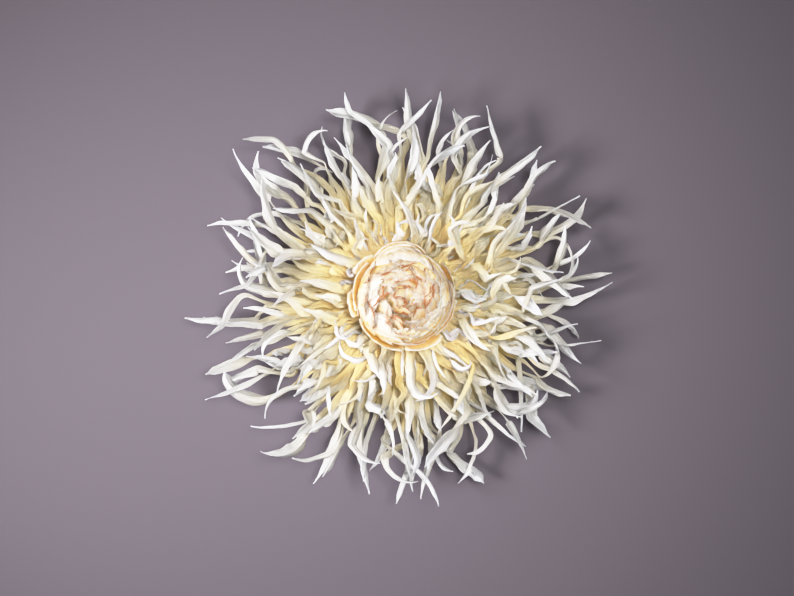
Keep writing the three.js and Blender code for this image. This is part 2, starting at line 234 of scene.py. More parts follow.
def petal_guides(name, tier, azimuth, reaches, pitch, draw):
    """The guide mesh of a petal, with one line of edges a finger, and how many fingers it has."""
    count = len(reaches)
    slopes = [math.radians(s + draw.uniform(*tier["slope_spread"])) for s in tier["slopes"]]
    lean = math.radians(draw.uniform(*tier["lean"]))
    strip_roll = math.radians(draw.uniform(*tier["strip_roll"]))
    whole = tier["whole"] * draw.uniform(0.85, 1.12)
    foot_half = tier["foot_width"] / 2
    full_half = tier["full_width"] / 2 * draw.uniform(0.88, 1.08)
    # The whole part: flat on the board from its foot to where it lifts, then rising and widening.
    lift_radius = tier["lift_radius"]
    place = Vector((lift_radius * math.cos(azimuth), lift_radius * math.sin(azimuth), BOARD_FRONT + SEAT))
    outward, level, up = directions(azimuth, 0.0, 0.0)
    strip = [(place - outward * (lift_radius - tier["foot_radius"]), level, up, foot_half)]
    step = whole / STRIP_STEPS
    for number in range(STRIP_STEPS + 1):
        share = number / STRIP_STEPS
        slope = slopes[0] + (slopes[1] - slopes[0]) * share * 0.5
        way, across, front = directions(azimuth + lean * share, slope, strip_roll * share)
        if number:
            place = place + way * step
        half = foot_half + (full_half - foot_half) * min(1.0, share * STRIP_WIDENS)
        strip.append((place.copy(), across, front, half))
    fingers = []
    total = 0.0
    root, across, front, half = strip[-1]
    for lane, reach in enumerate(reaches):
        middle = (2 * lane + 1) / count - 1
        start = root + across * middle * half
        # Each finger makes for its own place round the flower.
        goal = azimuth - middle * pitch / 2 + math.radians(draw.uniform(-AIM_SPREAD, AIM_SPREAD))
        east, north = reach * math.cos(goal) - start.x, reach * math.sin(goal) - start.y
        tilt = slopes[1] + math.radians(draw.uniform(*tier["lift_spread"]))
        free = max(math.hypot(east, north) / math.cos(tilt) * FINGER_SPARE, SHORTEST_FINGER)
        settle = (math.atan2(north, east) - azimuth - lean + math.pi) % (2 * math.pi) - math.pi
        line = finger_line(start, azimuth + lean, (slope, tilt), strip_roll, free, half / count, settle, draw,
                           tier)
        # Bends change how far it gets, so it is cut again until its tip is as far out as it should be.
        span = (line[-1][0] - start).to_2d()
        flat_start = start.to_2d()
        inward = flat_start.dot(span)
        deep = inward ** 2 - span.length_squared * (flat_start.length_squared - reach ** 2)
        grown = (math.sqrt(max(deep, 0.0)) - inward) / span.length_squared
        grown = min(max(grown, RECUT[0]), RECUT[1])
        total += (whole + free * grown) / count
        fingers.append((middle, [(start + (point[0] - start) * grown,) + point[1:] for point in line]))
    # Every point carries its half width (side), its front, its finger's place across the strip (lane), how
    # free it is of its neighbours (free), its distance from the foot in mm (run), its dye (tone) and fold.
    kinds = {"side": "FLOAT_VECTOR", "front": "FLOAT_VECTOR", "lane": "FLOAT", "free": "FLOAT",
             "run": "FLOAT", "tone": "FLOAT", "fold": "FLOAT"}
    values = {key: [] for key in kinds}
    coordinates = []
    edges = []
    # A tier's tone shift is added to the dye of all its points, so the inner tiers are paler: painted light
    # where the middle of the flower lies in shade.
    for lane, (middle, line) in enumerate(fingers):
        first = len(coordinates)
        # Some fingers took up more of the dye than others.
        tint = random.Random(f"{name} dye {lane}").uniform(*tier["tint"])
        for number, (where, across, front, half) in enumerate(strip):
            run = number * step
            coordinates.append(where + across * middle * half)
            values["side"].append(across * half / count)
            values["front"].append(front)
            values["free"].append(0.0)
            values["run"].append(run)
            values["tone"].append(run / (total + UNDYED_END) + tier["painted_light_lift"])
            values["fold"].append(0.0)
        for where, across, front, half, share, fold in line:
            run = whole + step + share * (total - whole)
            coordinates.append(where)
            values["side"].append(across * half)
            values["front"].append(front)
            values["free"].append(min(1.0, share * FINGER_FREES))
            values["run"].append(run)
            values["tone"].append(run / (total + UNDYED_END) + tier["painted_light_lift"]
                                  + tint * min(1.0, share * FINGER_TINTS))
            values["fold"].append(fold)
        last = len(coordinates)
        values["lane"] += [middle] * (last - first)
        edges += [(n, n + 1) for n in range(first, last - 1)]
    made = bpy.data.meshes.new(name)
    made.from_pydata([c * MM for c in coordinates], edges, [])
    for key, kind in kinds.items():
        scale = MM if key == "side" else 1.0
        attribute = made.attributes.new(key, kind, "POINT")
        if kind == "FLOAT":
            attribute.data.foreach_set("value", values[key])
        else:
            attribute.data.foreach_set("vector", [v * scale for item in values[key] for v in item])
    return made, count


def new_tree(name, sizes):
    """An empty Geometry Nodes tree with named inputs, and the outputs of its input node."""
    made = bpy.data.node_groups.new(name, "GeometryNodeTree")
    made.interface.new_socket("Geometry", in_out="INPUT", socket_type="NodeSocketGeometry")
    made.interface.new_socket("Geometry", in_out="OUTPUT", socket_type="NodeSocketGeometry")
    for label, kind in sizes:
        made.interface.new_socket(label, in_out="INPUT", socket_type="NodeSocket" + kind)
    return made, add(made, "NodeGroupInput")


# The tree spreads each guide line into a ribbon of cells, cups the whole part of the strip, pleats it along
# the grain, folds the fingers along their middles, and welds the lanes where they are still one sheet.
petal_tree, given = new_tree("crepe_petal_from_guides", [
    ("Lane Count", "Int"), ("Cells Across", "Int"), ("Strip Cup", "Float"), ("Pleat Height", "Float"),
    ("Crinkle Height", "Float"), ("Seed", "Float"), ("Paper", "Material")])
tree = petal_tree
read = {}
for label, kind in (("side", "FLOAT_VECTOR"), ("front", "FLOAT_VECTOR"), ("line", "FLOAT_VECTOR"),
                    ("over", "FLOAT"), ("lane", "FLOAT"), ("free", "FLOAT"), ("run", "FLOAT"),
                    ("fold", "FLOAT")):
    read[label] = add(tree, "GeometryNodeInputNamedAttribute", {"Name": label}, data_type=kind)[0]
# Each line becomes a ribbon: over runs from -1 to 1 across it.
lines = add(tree, "GeometryNodeMeshToCurve", {"Mesh": given["Geometry"]})[0]
rule = add(tree, "GeometryNodeCurvePrimitiveLine", {"Start": (-1, 0, 0), "End": (1, 0, 0)})[0]
nodes_across = add(tree, "ShaderNodeMath", {0: given["Cells Across"], 1: 1.0}, operation="ADD")[0]
rule = add(tree, "GeometryNodeResampleCurve", {"Curve": rule, "Count": nodes_across})[0]
rule_x = add(tree, "ShaderNodeSeparateXYZ", {0: add(tree, "GeometryNodeInputPosition")[0]})[0]
rule = add(tree, "GeometryNodeStoreNamedAttribute", {"Geometry": rule, "Name": "over", "Value": rule_x},
           data_type="FLOAT", domain="POINT")[0]
line_place = add(tree, "GeometryNodeInputPosition")[0]
lines = add(tree, "GeometryNodeStoreNamedAttribute", {"Geometry": lines, "Name": "line", "Value": line_place},
            data_type="FLOAT_VECTOR", domain="POINT")[0]
sheet = add(tree, "GeometryNodeCurveToMesh", {"Curve": lines, "Profile Curve": rule, "Scale": 0.001})[0]
# The whole strip is cupped, and a finger is folded along its middle.
over = read["over"]
away = add(tree, "ShaderNodeMath", {0: over}, operation="ABSOLUTE")[0]
lane_over = add(tree, "ShaderNodeMath", {0: over, 1: given["Lane Count"]}, operation="DIVIDE")[0]
across = add(tree, "ShaderNodeMath", {0: read["lane"], 1: lane_over}, operation="ADD")[0]
across_squared = add(tree, "ShaderNodeMath", {0: across, 1: 2.0}, operation="POWER")[0]
cup = add(tree, "ShaderNodeMath", {0: across_squared, 1: given["Strip Cup"]}, operation="MULTIPLY")[0]
side = read["side"]
half = add(tree, "ShaderNodeVectorMath", {0: side}, operation="LENGTH")[1]
fold = add(tree, "ShaderNodeMath", {0: away, 1: half}, operation="MULTIPLY")[0]
fold = add(tree, "ShaderNodeMath", {0: fold, 1: read["fold"]}, operation="MULTIPLY")[0]
free = read["free"]
lift = add(tree, "ShaderNodeMix", {0: free, 2: cup, 3: fold}, data_type="FLOAT")[0]
# Pleats run along the grain: five or six across a strip, and each about 160 mm long.
grain_place = add(tree, "ShaderNodeCombineXYZ", {0: across, 1: read["run"], 2: given["Seed"]})[0]
grain_place = add(tree, "ShaderNodeVectorMath", {0: grain_place, 1: (5.5, 0.006, 3.7)},
                  operation="MULTIPLY")[0]
pleats = add(tree, "ShaderNodeTexNoise", {"Vector": grain_place, "Scale": 1.0, "Detail": 1.0})[0]
pleats = add(tree, "ShaderNodeMath", {0: pleats, 1: 0.5}, operation="SUBTRACT")[0]
pleats = add(tree, "ShaderNodeMath", {0: pleats, 1: given["Pleat Height"]}, operation="MULTIPLY")[0]
lift = add(tree, "ShaderNodeMath", {0: lift, 1: pleats}, operation="ADD")[0]
# Crinkles about 14 mm apart, where the paper was stretched.
crinkle = add(tree, "ShaderNodeTexNoise", {"Vector": read["line"], "Scale": 70.0, "Detail": 2.0})[0]
crinkle = add(tree, "ShaderNodeMath", {0: crinkle, 1: 0.5}, operation="SUBTRACT")[0]
crinkle = add(tree, "ShaderNodeMath", {0: crinkle, 1: given["Crinkle Height"]}, operation="MULTIPLY")[0]
lift = add(tree, "ShaderNodeMath", {0: lift, 1: crinkle}, operation="ADD")[0]
rise = add(tree, "ShaderNodeVectorMath", {0: read["front"], "Scale": lift}, operation="SCALE")[0]
reach = add(tree, "ShaderNodeVectorMath", {0: side, "Scale": over}, operation="SCALE")[0]
place = add(tree, "ShaderNodeVectorMath", {0: read["line"], 1: reach}, operation="ADD")[0]
place = add(tree, "ShaderNodeVectorMath", {0: place, 1: rise}, operation="ADD")[0]
sheet = add(tree, "GeometryNodeSetPosition", {"Geometry": sheet, "Position": place})[0]
# The map is laid out in mm, across the grain and along it.
map_place = add(tree, "ShaderNodeMath", {0: half, 1: over}, operation="MULTIPLY")[0]
map_place = add(tree, "ShaderNodeMath", {0: map_place, 1: 1000.0}, operation="MULTIPLY")[0]
map_place = add(tree, "ShaderNodeCombineXYZ", {0: map_place, 1: read["run"]})[0]
sheet = add(tree, "GeometryNodeStoreNamedAttribute", {"Geometry": sheet, "Name": "grain", "Value": map_place},
            data_type="FLOAT2", domain="CORNER")[0]
# The fold of a free finger is a crease, and everything else is smooth.
crease = add(tree, "FunctionNodeCompare", {0: away, 1: 0.01}, data_type="FLOAT", operation="LESS_THAN")[0]
ready = add(tree, "FunctionNodeCompare", {0: free, 1: 0.3}, data_type="FLOAT", operation="GREATER_THAN")[0]
crease = add(tree, "FunctionNodeBooleanMath", {0: crease, 1: ready}, operation="AND")[0]
sheet = add(tree, "GeometryNodeSetShadeSmooth",
            {"Geometry": sheet, "Selection": crease, "Shade Smooth": False}, domain="EDGE")[0]
# Neighbouring lanes are still one sheet where their edges meet.
sheet = add(tree, "GeometryNodeMergeByDistance", {"Geometry": sheet, "Distance": 0.00005})[0]
sheet = add(tree, "GeometryNodeRealizeInstances", {"Geometry": sheet})[0]
sheet = add(tree, "GeometryNodeSetMaterial", {"Geometry": sheet, "Material": given["Paper"]})[0]
add(tree, "NodeGroupOutput", {0: sheet})

# Petals are shaped lying on their backs, with +Z away from the board. This hangs them on the wall.
WALL_FRAME = Matrix(((1, 0, 0, 0), (0, 0, -1, 0), (0, 1, 0, 0), (0, 0, 0, 1)))
PAPER_THICKNESS = 0.45 * MM     # two layers of crepe


def plain_mesh(source, tree, sizes, name):
    """Runs a tree on a mesh, makes the sheet as thick as paper, and keeps a plain mesh on the wall."""
    worker = bpy.data.objects.new(name, source)
    bpy.context.scene.collection.objects.link(worker)
    grow = worker.modifiers.new("grow", "NODES")
    grow.node_group = tree
    for item in tree.interface.items_tree:
        if item.in_out == "INPUT" and item.name in sizes:
            grow[item.identifier] = sizes[item.name]
    thick = worker.modifiers.new("thickness", "SOLIDIFY")
    thick.thickness = PAPER_THICKNESS
    thick.offset = 0.0
    worker.update_tag()
    bpy.context.view_layer.update()
    result = bpy.data.meshes.new_from_object(worker.evaluated_get(bpy.context.evaluated_depsgraph_get()))
    worker.modifiers.clear()
    worker.data = result
    result.name = name
    bpy.data.meshes.remove(source)
    result.transform(WALL_FRAME)
    return worker


# Dyed crepe paper, creped across and stretched along: a dull soft sheet with fine ridges along its grain,
# with painted shade in the grooves between them, warm where it is dyed and glowing where light comes through
# it.
def crepe_paper(name, dye, glow=0.42, grain=0.8, scorched=0.0):
    """Crepe paper whose colour runs from the foot (tone 0) to the tip (tone 1).

    glow is the share of the light that it lets through, grain the strength of its pleats and of the shade
    painted into the grooves of its ridges, and scorched the strength of the ink on its rim."""
    made, tree = new_material(name)
    sheet_map = add(tree, "ShaderNodeUVMap", uv_map="grain")[0]
    along = add(tree, "ShaderNodeAttribute", attribute_name="tone")["Fac"]
    place = add(tree, "ShaderNodeTexCoord")["Object"]
    # Ridges 1.2 mm apart, coarser than real creping, so that they show.
    stretched = add(tree, "ShaderNodeMapping", {"Vector": sheet_map, "Scale": (0.8, 0.03, 1.0)})[0]
    ridges = add(tree, "ShaderNodeTexNoise", {"Vector": stretched, "Scale": 1.0, "Detail": 3.0,
                                              "Roughness": 0.65})[0]
    # The dye spread unevenly, in clouds about 60 mm across.
    cloud = add(tree, "ShaderNodeTexNoise", {"Vector": place, "Scale": 16.0, "Detail": 3.0})[0]
    drift = add(tree, "ShaderNodeMath", {0: cloud, 1: 0.5}, operation="SUBTRACT")[0]
    drift = add(tree, "ShaderNodeMath", {0: drift, 1: 0.22, 2: along}, operation="MULTIPLY_ADD")[0]
    colour = add(tree, "ShaderNodeValToRGB", {"Fac": drift}, stops=dye)[0]
    # The grooves between the ridges are painted darker, as strongly as grain asks: a painted shade.
    ridge_painted_shade = add(tree, "ShaderNodeValToRGB", {"Fac": ridges}, stops=[(0.3, "#CDC8C0"), (0.56, "#FFFFFF")])[0]
    colour = add(tree, "ShaderNodeMix", {0: grain, 6: colour, 7: ridge_painted_shade}, data_type="RGBA",
                 blend_type="MULTIPLY")[2]
    if scorched:
        # The ragged rims are touched with rust ink, here and there.
        spots = add(tree, "ShaderNodeTexNoise", {"Vector": place, "Scale": 34.0, "Detail": 2.0})[0]
        spots = add(tree, "ShaderNodeMapRange", {0: spots, 1: 0.44, 2: 0.53, 3: 0.0, 4: scorched})[0]
        rim = add(tree, "ShaderNodeMapRange", {0: along, 1: 0.76, 2: 0.93, 3: 0.0, 4: 1.0})[0]
        rim = add(tree, "ShaderNodeMath", {0: rim, 1: spots}, operation="MULTIPLY")[0]
        colour = add(tree, "ShaderNodeMix", {0: rim, 6: colour, 7: srgb("#B07140")}, data_type="RGBA")[2]
    # Soft pleats 4 mm wide, pressed in when the strip was bent.
    stretched = add(tree, "ShaderNodeMapping", {"Vector": sheet_map, "Scale": (0.24, 0.012, 1.0)})[0]
    pleats = add(tree, "ShaderNodeTexNoise", {"Vector": stretched, "Scale": 1.0, "Detail": 1.0})[0]
    relief = add(tree, "ShaderNodeBump", {"Height": pleats, "Strength": grain, "Distance": 0.004})[0]
    relief = add(tree, "ShaderNodeBump", {"Height": ridges, "Strength": 0.9, "Distance": 0.0016,
                                          "Normal": relief})[0]
    face = add(tree, "ShaderNodeBsdfPrincipled", {"Base Color": colour, "Roughness": 0.78, "Normal": relief,
                                                  "Specular IOR Level": 0.25})[0]
    through = add(tree, "ShaderNodeBsdfTranslucent", {"Color": colour, "Normal": relief})[0]
    both = add(tree, "ShaderNodeMixShader", {0: glow, 1: face, 2: through})[0]
    add(tree, "ShaderNodeOutputMaterial", {"Surface": both})
    return made


# White crepe, its foot dipped in ochre dye: warm and strong deep in the flower, then straw, then a cool white
# that is a little blue at the tips. Between the straw and the tips it is painted greyer and darker, a painted
# shade where the upper tiers shade the sheet.
white_crepe = crepe_paper(
    "white_crepe_dyed_painted_shade",
    [(0.0, "#FFD074"), (1.0, "#EDF0F8"), (0.15, "#F8D078"), (0.32, "#E2CF98"), (0.52, "#D5CFBA"),
     (0.75, "#E0E0DF")], glow=0.36)
CRINKLE = 1.6               # height of a finger's crinkles, mm
CELLS_ACROSS = 4            # cells across one finger
PLEAT_SEEDS = 97            # how many patterns of pleats a petal's seed picks from


def make_petal(name, tier, azimuth, reaches, pitch, seed, paper, stands_for=None):
    """Cuts, curls and hangs one petal; seed decides how its fingers fall."""
    draw = random.Random(seed)
    guides, lanes = petal_guides(name, tier, azimuth, reaches, pitch, draw)
    sizes = {"Lane Count": lanes, "Cells Across": CELLS_ACROSS, "Strip Cup": tier["cup"] * MM,
             "Pleat Height": tier["pleat"] * MM, "Crinkle Height": CRINKLE * MM,
             "Seed": float(seed % PLEAT_SEEDS), "Paper": paper}
    petal = plain_mesh(guides, petal_tree, sizes, name)
    if stands_for:
        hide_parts(stands_for)
    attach(petal, "root")


# A tier's sizes in mm, angles in degrees, and turn in half turns. A pair is the least and most, apart from
# slopes, which are the strip's slope where it lifts and the fingers'. A share says how many fingers have
# something. neck_at is a share of a finger's length, and pinch and fold are shares of its half width.
# The tone shift paints a tier's paper paler, more so further in: painted light, where the middle of the
# flower lies in shade.
OUTER = {
    "foot_radius": 88, "lift_radius": 105, "slopes": (5, 10), "slope_spread": (-2, 3), "lean": (-12, 12),
    "strip_roll": (-26, 26), "whole": 86, "foot_width": 44, "full_width": 61, "cup": 9, "pleat": 6,
    "painted_light_lift": 0.0, "tint": (-0.06, 0.12), "fold": (0.4, 1.3), "lift_spread": (-5, 9),
    "neck_at": (0.18, 0.44), "pinch": (0.3, 0.75), "leaf_half": (6.5, 13), "tongue_share": 0.0,
    "bent_share": 0.6, "kink": (28, 95), "zigzag_share": 0.55, "sway": 42, "hook_share": 0.24,
    "hook": (35, 110), "turn": (0.2, 1.0), "tip_rise": (-6, 30)}
# How far from the middle each finger's tip ends, mm, for each outer petal from its left to its right.
OUTER_REACHES = [
    (302, 348, 344, 300), (315, 329, 344, 300), (320, 325, 346, 335), (350, 356, 346, 345),
    (369, 330, 315, 335), (330, 345, 370, 340), (364, 335, 325, 320), (337, 330, 368, 350),
    (325, 320, 344, 330), (332, 320, 330, 346), (334, 318, 320, 336), (305, 316, 320, 335)]


def hang_tier(name, tier, count, start, reaches, fingers, seed, paper, stands=False):
    """Hangs the petals of one tier; reaches are given for each finger, or as the least and most, mm."""
    for number in range(count):
        chance = random.Random(seed + number)
        ends = reaches[number] if len(reaches) > 2 else [chance.uniform(*reaches) for _ in range(fingers)]
        label = f"{name}_{number + 1}"
        make_petal(label + "_paper" if stands else label, tier, 2 * math.pi * (number + start) / count, ends,
                   2 * math.pi / count, seed + 50 + number, paper, label if stands else None)


hang_tier("outer_petal", OUTER, 12, 0.0, OUTER_REACHES, 4, 500, white_crepe, stands=True)
# Narrower petals fill the gaps between them, and still narrower strips stand in front.
LINING = {**OUTER, "whole": 70, "foot_width": 38, "full_width": 50}
hang_tier("outer_lining", LINING, 12, 0.5, (240, 318), 3, 900, white_crepe)
WISP = {**OUTER, "slopes": (9, 13), "foot_width": 26, "full_width": 36, "leaf_half": (5, 9),
        "pinch": (0.3, 0.7), "hook_share": 0.3}
hang_tier("outer_wisp", WISP, 12, 0.24, (275, 350), 2, 4100, white_crepe)

# ---------------------------------------------------------------- second tier of petals
# Petals of the same paper, glued inside the first and leaning forward. Their fingers are shorter and rise
# further at their tips, and a few are broad tongues.
SECOND = {**OUTER, "foot_radius": 72, "lift_radius": 82, "slopes": (26, 14), "slope_spread": (-4, 5),
          "foot_width": 41, "full_width": 64, "leaf_half": (5.5, 12), "tip_rise": (-12, 45),
          "strip_roll": (-32, 32), "tongue_share": 0.12, "bent_share": 0.55, "sway": 44, "hook_share": 0.16,
          "hook": (40, 110), "painted_light_lift": 0.02}
hang_tier("second_petal", SECOND, 10, 0.5, (230, 310), 4, 1300, white_crepe, stands=True)
hang_tier("second_lining", SECOND, 10, 0.02, (185, 280), 3, 1700, white_crepe)

# ---------------------------------------------------------------- third tier of petals
# Shorter petals of crepe, glued inside the second tier and leaning further forward. Nearly a third of their
# fingers are broad tongues, and more of them end in a hook.
# Crepe dyed further up its length: butter yellow over most of it, then straw, and white only at the tips. It
# is painted brighter than the outer tiers' crepe: painted light on the inner tiers, which the bud and the
# tiers round them shade.
butter_crepe = crepe_paper(
    "butter_crepe_dyed_painted_light",
    [(0.0, "#FFD682"), (1.0, "#F2F2F8"), (0.26, "#FFE19E"), (0.48, "#EDD698"), (0.7, "#DFD7BC")],
    glow=0.38, grain=0.75)
THIRD = {**SECOND, "foot_radius": 59, "lift_radius": 69, "slopes": (40, 20), "whole": 66, "foot_width": 40,
         "leaf_half": (5, 10), "tip_rise": (-15, 50), "turn": (0.15, 0.8), "tongue_share": 0.3,
         "kink": (30, 120), "sway": 50, "hook_share": 0.24, "hook": (50, 140), "painted_light_lift": 0.04,
         "tint": (-0.12, 0.16)}
hang_tier("third_petal", THIRD, 8, 0.2, (165, 240), 4, 2100, butter_crepe, stands=True)
hang_tier("third_lining", THIRD, 8, 0.7, (145, 215), 3, 2500, butter_crepe)

# ---------------------------------------------------------------- inner tier of petals
# The innermost petals, of the third tier's crepe, are glued close round the bud. They stand up beside it and
# arch outwards, and most of their fingers are broad tongues.
INNER = {**THIRD, "foot_radius": 46, "lift_radius": 57, "slopes": (64, 26), "slope_spread": (-8, 2),
         "whole": 48, "foot_width": 38, "full_width": 62, "leaf_half": (6, 10), "tip_rise": (-15, 42),
         "tongue_share": 0.6, "turn": (0.1, 0.6), "kink": (35, 120), "hook_share": 0.3, "hook": (60, 150),
         "painted_light_lift": 0.17}
hang_tier("inner_petal", INNER, 7, 0.6, (120, 180), 3, 2900, butter_crepe, stands=True)
# Shorter and narrower ones line them.
FRINGE = {**INNER, "foot_radius": 50, "lift_radius": 62, "slopes": (54, 24), "whole": 40,
          "leaf_half": (4.5, 8), "tongue_share": 0.3, "bent_share": 0.7, "tip_rise": (-20, 42)}
hang_tier("inner_lining", FRINGE, 9, 0.1, (105, 165), 3, 3300, butter_crepe)
# Narrow strips, whose pale fingers curl over the gaps between the petals; their tone shift paints them palest
# of all, painted light beside the shaded bud.
CURLS = {**FRINGE, "foot_radius": 54, "lift_radius": 66, "slopes": (64, 40), "whole": 28,
         "foot_width": 20, "full_width": 30, "leaf_half": (3.6, 8), "tongue_share": 0.0, "bent_share": 0.5,
         "zigzag_share": 0.6, "hook_share": 0.5, "hook": (60, 170), "tip_rise": (-30, 40), "painted_light_lift": 0.34,
         "tint": (0.0, 0.3)}
hang_tier("inner_wisp", CURLS, 17, 0.35, (94, 160), 2, 5200, butter_crepe)

# ---------------------------------------------------------------- bud cups
# Broad petals without fingers, stretched into cups over the ball. Each is glued at its foot and tucked
# under its neighbour on one side.
BUD_MIDDLE = BOARD_FRONT + 54       # height of the ball's centre over the wall, mm
# The tree bends a flat grid over the ball. A point's angle at the ball's centre, from the flower's axis, goes
# from the foot's to the rim's, and its distance from the centre from the foot's radius to the rim's.
cup_tree, given = new_tree("crepe_cup_on_a_ball", [
    ("Cells Across", "Int"), ("Cells Along", "Int"), ("Middle Height", "Float"), ("Azimuth", "Float"),
    ("Half Width", "Float"), ("Foot Angle", "Float"), ("Rim Angle", "Float"), ("Foot Radius", "Float"),
    ("Rim Radius", "Float"), ("Swell", "Float"), ("Tuck", "Float"), ("Hug", "Float"), ("Curl", "Float"),
    ("Rounding", "Float"), ("Spiral", "Float"), ("Crumple", "Float"), ("Ruffle", "Float"),
    ("Ruffle Pitch", "Float"), ("Ragged", "Float"), ("Seed", "Float"), ("Paper", "Material")])
tree = cup_tree
sheet = add(tree, "GeometryNodeMeshGrid", {"Size X": 2.0, "Size Y": 1.0, "Vertices X": given["Cells Across"],
                                           "Vertices Y": given["Cells Along"]})[0]
flat = add(tree, "ShaderNodeSeparateXYZ", {0: add(tree, "GeometryNodeInputPosition")[0]})
across = flat[0]
along = add(tree, "ShaderNodeMath", {0: flat[1], 1: 0.5}, operation="ADD")[0]
sheet = add(tree, "GeometryNodeStoreNamedAttribute", {"Geometry": sheet, "Name": "tone", "Value": along},
            data_type="FLOAT", domain="POINT")[0]
width_place = add(tree, "ShaderNodeMath", {0: across, 1: given["Half Width"]}, operation="MULTIPLY")[0]
# The map is about as large as the cup in mm: 60 for each radian round it, and 90 from its foot to its rim.
map_across = add(tree, "ShaderNodeMath", {0: width_place, 1: 60.0}, operation="MULTIPLY")[0]
map_along = add(tree, "ShaderNodeMath", {0: along, 1: 90.0}, operation="MULTIPLY")[0]
map_place = add(tree, "ShaderNodeCombineXYZ", {0: map_across, 1: map_along})[0]
sheet = add(tree, "GeometryNodeStoreNamedAttribute", {"Geometry": sheet, "Name": "grain", "Value": map_place},
            data_type="FLOAT2", domain="CORNER")[0]
# The rim is rounded at its corners, and ragged.
away = add(tree, "ShaderNodeMath", {0: across}, operation="ABSOLUTE")[0]
away = add(tree, "ShaderNodeMath", {0: away, 1: 2.6}, operation="POWER")[0]
shorter = add(tree, "ShaderNodeMath", {0: away, 1: given["Rounding"]}, operation="MULTIPLY")[0]
outline = add(tree, "ShaderNodeMath", {0: 1.0, 1: shorter}, operation="SUBTRACT")[0]
rim_place = add(tree, "ShaderNodeMath", {0: along, 1: outline}, operation="MULTIPLY")[0]
noise_x = add(tree, "ShaderNodeMath", {0: width_place, 1: given["Ruffle Pitch"]}, operation="MULTIPLY")[0]
noise_place = add(tree, "ShaderNodeCombineXYZ", {0: noise_x, 1: along, 2: given["Seed"]})[0]
ruffle = add(tree, "ShaderNodeTexNoise", {"Vector": noise_place, "Scale": 1.0, "Detail": 2.0,
                                          "Roughness": 0.6})[0]
ruffle = add(tree, "ShaderNodeMath", {0: ruffle, 1: 0.5}, operation="SUBTRACT")[0]
loose = add(tree, "ShaderNodeMath", {0: along, 1: 2.0}, operation="POWER")[0]
ruffle = add(tree, "ShaderNodeMath", {0: ruffle, 1: loose}, operation="MULTIPLY")[0]
ruffle = add(tree, "ShaderNodeMath", {0: ruffle, 1: given["Ruffle"]}, operation="MULTIPLY")[0]
edge_place = add(tree, "ShaderNodeVectorMath", {0: noise_place, 1: (2.7, 0.0, 1.9)}, operation="MULTIPLY")[0]
ragged = add(tree, "ShaderNodeTexNoise", {"Vector": edge_place, "Scale": 1.0, "Detail": 4.0,
                                          "Roughness": 0.7})[0]
ragged = add(tree, "ShaderNodeMath", {0: ragged, 1: 0.5}, operation="SUBTRACT")[0]
ragged = add(tree, "ShaderNodeMath", {0: ragged, 1: given["Ragged"]}, operation="MULTIPLY")[0]
near_rim = add(tree, "ShaderNodeMath", {0: along, 1: 5.0}, operation="POWER")[0]
rim_place = add(tree, "ShaderNodeMath", {0: ragged, 1: near_rim, 2: rim_place}, operation="MULTIPLY_ADD")[0]
# The angle, which winds across the cup and is crumpled towards the rim.
span = add(tree, "ShaderNodeMath", {0: given["Rim Angle"], 1: given["Foot Angle"]}, operation="SUBTRACT")[0]
angle = add(tree, "ShaderNodeMath", {0: span, 1: rim_place, 2: given["Foot Angle"]},
            operation="MULTIPLY_ADD")[0]
angle = add(tree, "ShaderNodeMath", {0: given["Spiral"], 1: across, 2: angle}, operation="MULTIPLY_ADD")[0]
crumple_place = add(tree, "ShaderNodeVectorMath", {0: noise_place, 1: (0.9, 1.6, 4.3)},
                    operation="MULTIPLY")[0]
crumple = add(tree, "ShaderNodeTexNoise", {"Vector": crumple_place, "Scale": 1.0, "Detail": 2.0})[0]
crumple = add(tree, "ShaderNodeMath", {0: crumple, 1: 0.5}, operation="SUBTRACT")[0]
crumple = add(tree, "ShaderNodeMath", {0: crumple, 1: loose}, operation="MULTIPLY")[0]
angle = add(tree, "ShaderNodeMath", {0: crumple, 1: given["Crumple"], 2: angle}, operation="MULTIPLY_ADD")[0]
# The distance: it swells in the middle, one side stands out and the other in, the rim curls, and the sides
# hug what lies under them.
grow = add(tree, "ShaderNodeMath", {0: given["Rim Radius"], 1: given["Foot Radius"]}, operation="SUBTRACT")[0]
radius = add(tree, "ShaderNodeMath", {0: grow, 1: along, 2: given["Foot Radius"]},
             operation="MULTIPLY_ADD")[0]
arch = add(tree, "ShaderNodeMath", {0: along, 1: math.pi}, operation="MULTIPLY")[0]
arch = add(tree, "ShaderNodeMath", {0: arch}, operation="SINE")[0]
radius = add(tree, "ShaderNodeMath", {0: arch, 1: given["Swell"], 2: radius}, operation="MULTIPLY_ADD")[0]
radius = add(tree, "ShaderNodeMath", {0: across, 1: given["Tuck"], 2: radius}, operation="MULTIPLY_ADD")[0]
radius = add(tree, "ShaderNodeMath", {0: near_rim, 1: given["Curl"], 2: radius}, operation="MULTIPLY_ADD")[0]
hug = add(tree, "ShaderNodeMath", {0: away, 1: given["Hug"]}, operation="MULTIPLY")[0]
radius = add(tree, "ShaderNodeMath", {0: radius, 1: hug}, operation="SUBTRACT")[0]
radius = add(tree, "ShaderNodeMath", {0: radius, 1: ruffle}, operation="ADD")[0]
bearing = add(tree, "ShaderNodeMath", {0: width_place, 1: given["Azimuth"]}, operation="ADD")[0]
upright = add(tree, "ShaderNodeMath", {0: angle}, operation="COSINE")[0]
level = add(tree, "ShaderNodeMath", {0: angle}, operation="SINE")[0]
level = add(tree, "ShaderNodeMath", {0: level, 1: radius}, operation="MULTIPLY")[0]
height = add(tree, "ShaderNodeMath", {0: upright, 1: radius, 2: given["Middle Height"]},
             operation="MULTIPLY_ADD")[0]
east = add(tree, "ShaderNodeMath", {0: bearing}, operation="COSINE")[0]
east = add(tree, "ShaderNodeMath", {0: east, 1: level}, operation="MULTIPLY")[0]
north = add(tree, "ShaderNodeMath", {0: bearing}, operation="SINE")[0]
